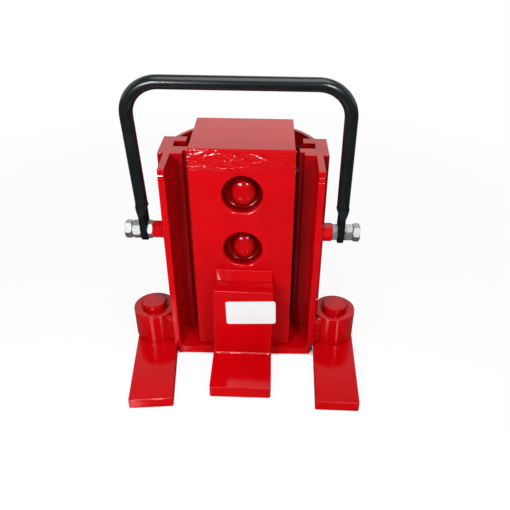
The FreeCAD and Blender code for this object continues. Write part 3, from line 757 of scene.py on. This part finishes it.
def pocket_plugs():
    """The smooth, painted plugs in the carriage's two pockets."""
    profiles = (
        plug_profile(cap_r=22.0, sink=2.2, edge_r=5.0, side_r=14.0, trough_r=4.4),
        plug_profile(cap_r=24.0, sink=1.6, edge_r=5.0, side_r=14.5, trough_r=4.1),
    )
    stretches = (0.16, 0.10)
    points = []
    faces = []
    for level, profile, stretch in zip(POCKET_LEVELS, profiles, stretches):
        faces += grid_faces(PLUG_TURNS, len(profile), flip=True, start=len(points))
        points += plug_points(profile, level, stretch)
    # The plugs take the enamel with painted shade, which darkens it deeper in the pockets
    piece = add_piece("pocket_plugs", points, faces, "carriage", shaded_pocket_paint())
    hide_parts("dome_plugs")
    merge = bmesh.new()
    merge.from_mesh(piece.data)
    bmesh.ops.remove_doubles(merge, verts=merge.verts, dist=1e-6)
    bmesh.ops.recalc_face_normals(merge, faces=merge.faces)
    merge.to_mesh(piece.data)
    merge.free()


def pocket_rims():
    """Lumpy paint on the rounded edges of the two pockets."""
    points = []
    faces = []
    for level in POCKET_LEVELS:
        faces += grid_faces(RIM_TURNS, RIM_STEPS + 1, flip=True, start=len(points))
        for k in range(RIM_TURNS):
            angle = 2 * math.pi * k / RIM_TURNS
            across = math.cos(angle)
            up = math.sin(angle)
            for i in range(RIM_STEPS + 1):
                t = math.pi / 2 * i / RIM_STEPS
                lump = RIM_COAT + RIM_LUMP * wander(RIM_LUMPS * across, RIM_LUMPS * up, level + 1.2 * t)
                away = POCKET_EDGE_R + lump * math.sin(2 * t) - 0.02
                radius = POCKET_R + POCKET_EDGE_R - away * math.cos(t)
                depth = POCKET_EDGE_R - away * math.sin(t)
                points.append((radius * across, FACE_Y + depth, level + radius * up))
    add_piece("pocket_rims", points, faces, "carriage", RED_PAINT)


# Weld on the head

# Strokes of weld on the head's front: start and end across and up, half width and crown
HEAD_STROKES = (
    (-60, 272.2, -18, 272.8, 2.3, 0.8),
    (-22, 273.0, 22, 272.0, 2.2, 0.7),
    (18, 272.0, 60, 272.8, 2.3, 0.9),
    (-56, 265.6, -38, 272.2, 2.2, 1.4),
    (-52, 268.4, -8, 258.6, 2.9, 1.35),
    (-36, 267.0, -16, 270.0, 2.6, 0.9),
    (-20, 271.0, 0, 263.2, 2.7, 1.15),
    (2, 271.6, 24, 263.4, 2.7, 1.15),
    (18, 269.8, 46, 267.4, 2.5, 0.9),
    (33, 266.2, 60, 259.0, 2.8, 0.8),
    (-60, 262.4, -30, 257.0, 2.7, 1.0),
    (-10, 261.6, 18, 258.2, 2.6, 0.9),
    (14, 259.8, 46, 262.2, 2.6, 1.0),
    (-60, 255.4, -26, 254.2, 2.5, 1.1),
    (-30, 253.4, -8, 253.2, 2.3, 1.0),
    (-9, 254.0, 13, 255.8, 2.3, 1.1),
    (10, 253.6, 34, 254.0, 2.3, 0.9),
    (29, 255.4, 60, 256.8, 2.5, 0.8),
)
HEAD_WELD_LOW = 249.6
HEAD_WELD_SIDE = 5.0
HEAD_WELD_MAX = 1.4
HEAD_WELD_STEP = 0.4
HEAD_WELD_FADE = 1.2
RIPPLE_PITCH = 4.3
RIPPLE_HEIGHT = 0.08


def stroke_height(stroke, along, z):
    """How far one stroke stands out at a place, with the ripples that a weld pool leaves."""
    x0, z0, x1, z1, half, crown = stroke
    length = math.hypot(x1 - x0, z1 - z0)
    ahead = ((along - x0) * (x1 - x0) + (z - z0) * (z1 - z0)) / length
    share = min(max(ahead, 0.0), length) / length
    away = math.hypot(along - x0 - (x1 - x0) * share, z - z0 - (z1 - z0) * share)
    away += 0.7 * wander(along * 0.16, z * 0.16, x0)
    d = away / half
    if d >= 1.0:
        return 0.0
    phase = 2 * math.pi * (ahead + 0.5 * away) / RIPPLE_PITCH
    phase += 3.0 * wander(along * 0.2, z * 0.2, z0)
    return (crown + RIPPLE_HEIGHT * math.sin(phase)) * (1.0 - d * d)


def head_weld_height(along, z):
    """How far the weld on the head stands out, in millimetres. Along is measured from the middle."""
    low_edge = HEAD_WELD_LOW + 1.4 + 1.3 * wander(along * 0.08, 1.0, 2.0)
    fade = clamp((z - low_edge) / HEAD_WELD_FADE) * clamp((HEAD_TOP - z) / HEAD_WELD_FADE)
    coat = 0.28 + 0.12 * wander(along * 0.2, z * 0.2, 8.0)
    height = max([coat] + [stroke_height(stroke, along, z) for stroke in HEAD_STROKES])
    return min(height, HEAD_WELD_MAX) * fade


def head_weld_path():
    """Places across the head's front and round both corners, each with its outward direction."""
    ends = []
    for side in (-1, 1):
        flank = [(side * HEAD_HALF, FACE_Y + d, side, 0.0) for d in between(0.4, HEAD_WELD_SIDE, 0.8)]
        turn = [math.radians(15 * k) for k in range(7)]
        corner = [(side * HEAD_HALF, FACE_Y, side * math.cos(t), -math.sin(t)) for t in turn]
        ends.append((flank[::-1] + corner) if side < 0 else (corner[::-1] + flank))
    across = between(-HEAD_HALF + 0.5, HEAD_HALF - 0.5, HEAD_WELD_STEP)
    return ends[0] + [(x, FACE_Y, 0.0, -1.0) for x in across] + ends[1]


def head_weld():
    """Several passes of painted weld that build up the head's front and lap round its corners."""
    path = head_weld_path()
    levels = between(HEAD_WELD_LOW, HEAD_TOP - 0.05, HEAD_WELD_STEP)
    points = []
    for x, y, out_x, out_y in path:
        away = abs(y - FACE_Y)
        along = x + math.copysign(away, x)
        ends = 1.0 - (away / HEAD_WELD_SIDE) ** 2
        for z in levels:
            out = head_weld_height(along, z) * ends * (1.0 + 0.3 * abs(out_x)) - 0.04
            points.append((x + out_x * out, y + out_y * out, z))
    faces = grid_faces(len(path), len(levels), ring=False, flip=True)
    add_piece("head_weld", points, faces, "carriage", THICK_PAINT)


# Welds on the toe

# The weld on top: how far it goes up the face and out over the toe, and how its ends bow back
TOE_WELD_UP = 12.0
TOE_WELD_OUT = 7.6
TOE_WELD_BOW = 10.0
TOE_WELD_BACK = 1.7
# How deep a weld's root lies in its corner
ROOT = 0.4


def toe_weld():
    """The thick, smooth weld between the toe's top and the carriage: a slope that bows back at both ends."""
    half = TOE_HALF - 0.6
    sections = []
    for x in between(-half, half, 0.4):
        back = TOE_WELD_BACK * clamp(1.0 - (half - abs(x)) / TOE_WELD_BOW) ** 2
        up = TOE_WELD_UP + 0.4 * wander(x * 0.12, 0.0, 0.0)
        out = (TOE_WELD_OUT + 0.3 * wander(x * 0.10, 3.0, 0.0) - back) * rounded_end(x, half, 1.2)
        section = [(x, FACE_Y + ROOT, TOE_TOP - ROOT)]
        for k in range(11):
            down = k / 10
            section.append((x, FACE_Y + 0.05 - out * down, TOE_TOP + up * (1.0 - down)))
        sections.append([askew(*p) for p in section])
    loft("toe_weld", sections, "carriage", RED_PAINT)


def toe_corner_seam():
    """The thin, uneven seam in the toe's inner corner."""
    half = TOE_HALF - 0.4
    steps = 3
    hollow = 1.5
    sections = []
    for x in between(-half, half, 0.9):
        size = rounded_end(x, half, 1.0)
        up = (1.5 + 0.9 * wander(x * 0.6, 1.0, 1.0)) * size
        out = (1.5 + 0.9 * wander(x * 0.7, 2.0, 0.0)) * size
        section = [(x, TOE_PLATE_FRONT + ROOT, TOE_TIP_TOP - ROOT)]
        for k in range(steps + 1):
            t = math.pi / 2 * k / steps
            y = TOE_PLATE_FRONT - out * math.sin(t) ** hollow
            section.append((x, y, TOE_TIP_TOP + up * math.cos(t) ** hollow))
        sections.append([askew(*p) for p in section])
    facet(loft("toe_corner_seam", sections, "carriage"))


# Welds and paint on the housing

# A weld beside a hinge barrel: its ends, how far round the barrel and how far along the plate it reaches from
# the hinge, where its root lies, how full it is, and the pitch of its lumps
BARREL_WELD_ENDS = (16.0, 52.0)
BARREL_WELD_TURN = math.radians(50)
BARREL_WELD_REACH = 26.4
BARREL_WELD_ROOT = (1.5, 12.0)
BARREL_WELD_BULGE = 0.9
BARREL_WELD_PITCH = 4.2

NUT_WELD_TURNS = 48
NUT_WELD_STEPS = 5
NUT_WELD_SIZE = 2.1
# The hexagonal nut's mean radius
NUT_R = 9.4

PIN_PAINT_TURNS = 64
# Radius and height round the section of the paint in a pin's groove
PIN_PAINT = ((17.5, 52.5), (16.6, 51.5), (15.6, 51.1), (14.8, 51.0), (14.8, 50.1), (17.5, 50.1))

# Sections of a ridge of paint from the top down, as shares of half its height and of its rise
WEDGE = ((1.0, 0.0), (-0.2, 1.0), (-0.55, 0.92), (-0.85, 0.55), (-1.0, 0.0))
ROUND = [(math.cos(math.pi * k / 8), math.sin(math.pi * k / 8)) for k in range(9)]
# Ridges on the lips: name, side, place above the floor, height, rise, section and length of the thin ends
LIP_RIDGES = (
    ("left_lip_ridge", -1, 247.2, 1.8, 0.45, WEDGE, 0.7),
    ("right_lip_ridge", 1, 247.1, 3.0, 1.4, ROUND, 3.2),
    ("right_lip_ridge_low", 1, 241.4, 2.6, 1.0, ROUND, 3.2),
)


def barrel_weld(name, side, fore):
    """A broad, lumpy weld that fills the groove between a hinge barrel and its side plate."""
    low, high = BARREL_WELD_ENDS
    radius = BARREL_R - 0.3
    wall = (PLATE_OUT - 0.2, HINGE_Y + fore * BARREL_WELD_REACH)
    curve = (HINGE_X - radius * math.cos(BARREL_WELD_TURN),
             HINGE_Y + fore * radius * math.sin(BARREL_WELD_TURN))
    root = (PLATE_OUT + BARREL_WELD_ROOT[0], HINGE_Y + fore * BARREL_WELD_ROOT[1])
    sections = []
    for z in between(low, high, 0.5):
        lump = 0.5 * wander(z * 0.16, side, fore) + 0.28 * math.sin(2 * math.pi * z / BARREL_WELD_PITCH)
        size = 0.4 + 0.6 * rounded_end(z - (low + high) / 2, (high - low) / 2, 5.0)
        section = [(side * root[0], root[1], z)]
        for k in range(13):
            t = k / 12
            arch = math.sin(math.pi * t)
            bulge = (BARREL_WELD_BULGE + lump + 0.5 * wander(z * 0.22, t * 3, fore)) * arch
            x = wall[0] + (curve[0] - wall[0]) * t
            y = wall[1] + (curve[1] - wall[1]) * t + fore * bulge
            section.append((side * x, root[1] + (y - root[1]) * size, z - arch))
        sections.append(section)
    loft(name, sections, "housing")


def nut_weld(name, side):
    """A small ring of weld round the nut on a side plate."""
    overlap = 0.8
    hollow = 1.5
    points = []
    for k in range(NUT_WELD_TURNS):
        turn = 2 * math.pi * k / NUT_WELD_TURNS
        uneven = 0.2 * wander(3 * math.cos(turn), 3 * math.sin(turn), side)
        size = NUT_WELD_SIZE + 0.25 * math.sin(9 * turn) + uneven
        for i in range(NUT_WELD_STEPS + 1):
            t = math.pi / 2 * i / NUT_WELD_STEPS
            radius = NUT_R - overlap + (size + overlap) * math.cos(t) ** hollow
            x = side * (PLATE_OUT + size * math.sin(t) ** hollow - 0.05)
            points.append((x, PIVOT_Y + radius * math.cos(turn), PIVOT_Z + radius * math.sin(turn)))
    faces = grid_faces(NUT_WELD_TURNS, NUT_WELD_STEPS + 1)
    add_piece(name, points, faces, "housing", THICK_PAINT)


def pin_paint(name, side):
    """Paint that filled the groove round a foot's pin and clings to the barrel."""
    points = []
    for k in range(PIN_PAINT_TURNS):
        turn = 2 * math.pi * k / PIN_PAINT_TURNS
        for radius, z in PIN_PAINT:
            points.append((side * HINGE_X + radius * math.cos(turn), HINGE_Y + radius * math.sin(turn), z))
    faces = grid_faces(PIN_PAINT_TURNS, len(PIN_PAINT), closed=True)
    add_piece(name, points, faces, "housing", RED_PAINT)


def lip_ridge(name, side, z, height, rise, shape, thin_end):
    """A run of paint that stopped across the front of a lip and thins out at its ends."""
    centre = side * (PLATE_IN + PLATE_OUT) / 2
    half = (PLATE_OUT - PLATE_IN) / 2 - 0.5
    back = LIP_FRONT + 0.3
    sections = []
    for x in between(-half, half, 0.4):
        size = rounded_end(x, half, thin_end)
        level = z + 0.25 * wander(x * 0.4, z, side)
        section = [(centre + x, back, level - height / 2), (centre + x, back, level + height / 2)]
        for up, out in shape:
            section.append((centre + x, LIP_FRONT - rise * out * size, level + height / 2 * up))
        sections.append(section)
    piece = loft(name, sections, "housing")
    if shape is WEDGE:
        facet(piece)


# Rough edges

# How far the paint over a burr reaches from its edge, and how long the edges are, as half widths
BURR = 0.44
LEG_EDGE_HALF = LEG_HALF - 3.5
TOE_TOP_EDGE_HALF = 33.0
TOE_TIP_EDGE_HALF = 33.5
BASE_EDGE_HALF = 78.0


def rough_edge(name, start, end, body):
    """The uneven, painted-over burr along a sheared top edge, from one end to the other."""
    first = Vector(start)
    last = Vector(end)
    length = (last - first).length
    along = (last - first) / length
    up = Vector((0, 0, 1))
    front = along.cross(up).normalized()
    sections = []
    for s in between(0.0, length, 0.9):
        corner = first + along * s
        inset = BURR * (1.0 + 0.9 * wander(s * 0.83, first.x, first.y))
        drop = BURR * (1.0 + 0.9 * wander(s * 0.71, first.z, last.x))
        section = [corner - front * inset, corner - up * drop, corner - (front + up) * 2.2 * BURR]
        sections.append([tuple(p) for p in section])
    facet(loft(name, sections, body))


def edge_ends(half, y, z):
    """The two ends of an edge that lies straight across the object."""
    return ((-half, y, z), (half, y, z))


def leg_edge(side, shift, turn):
    """The two ends of the sheared edge across a leg's front, on top."""
    ends = []
    for across, y, z in edge_ends(LEG_EDGE_HALF, -LEG_LENGTH + 0.05, LEG_T):
        x = across + shift
        ends.append((side * HINGE_X + x * math.cos(turn) - y * math.sin(turn),
                     HINGE_Y + x * math.sin(turn) + y * math.cos(turn), z))
    return ends


def rough_edges():
    toe_top = [askew(*p) for p in edge_ends(TOE_TOP_EDGE_HALF, TOE_PLATE_FRONT, TOE_TOP)]
    toe_tip = [askew(*p) for p in edge_ends(TOE_TIP_EDGE_HALF, TOE_FRONT, TOE_TIP_TOP)]
    rough_edge("left_leg_edge", *leg_edge(-1, *LEFT_LEG), "left_foot")
    rough_edge("right_leg_edge", *leg_edge(1, *RIGHT_LEG), "right_foot")
    rough_edge("toe_top_edge", *toe_top, "carriage")
    rough_edge("toe_tip_edge", *toe_tip, "carriage")
    rough_edge("base_edge", *edge_ends(BASE_EDGE_HALF, LIP_FRONT, BASE_T), "housing")


# Label

LABEL_CENTRE = (9.8, 83.5)
LABEL_HALF_WIDTH = 29.0
LABEL_HALF_HEIGHT = 16.6
LABEL_TURN = math.radians(1.6)
LABEL_ROUND = 3.0
# Layers of the label from the toe outward: place before the toe's front, and size
LABEL_LAYERS = ((0.02, 1.0), (-0.12, 1.0), (-0.16, 0.995))


def label():
    """A blank label on the toe's front, stuck on a little askew and past the toe's right edge."""
    outline = []
    for quarter in range(4):
        sx = 1 if quarter in (0, 3) else -1
        sz = 1 if quarter in (0, 1) else -1
        for k in range(7):
            t = math.radians(90 * quarter + 15 * k)
            x = sx * (LABEL_HALF_WIDTH - LABEL_ROUND) + LABEL_ROUND * math.cos(t)
            z = sz * (LABEL_HALF_HEIGHT - LABEL_ROUND) + LABEL_ROUND * math.sin(t)
            outline.append((x * math.cos(LABEL_TURN) - z * math.sin(LABEL_TURN),
                            x * math.sin(LABEL_TURN) + z * math.cos(LABEL_TURN)))
    sections = []
    for depth, size in LABEL_LAYERS:
        y = TOE_PLATE_FRONT + depth
        sections.append([(LABEL_CENTRE[0] + x * size, y, LABEL_CENTRE[1] + z * size) for x, z in outline])
    facet(loft("label", sections, "carriage", label_film()))


make_camera()
make_studio()
dress_nodes()
for node_name, edge_width in SOFT_EDGES.items():
    soften(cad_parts[node_name], edge_width)
seamless_rail("left")
seamless_rail("right")
pocket_plugs()
pocket_rims()
head_weld()
toe_weld()
toe_corner_seam()
for hand, side in (("left", -1), ("right", 1)):
    barrel_weld(hand + "_barrel_weld_front", side, -1)
    barrel_weld(hand + "_barrel_weld_rear", side, 1)
    nut_weld(hand + "_nut_weld", side)
    pin_paint(hand + "_pin_paint", side)
for ridge in LIP_RIDGES:
    lip_ridge(*ridge)
rough_edges()
label()

bpy.context.scene.view_settings.view_transform = "Standard"
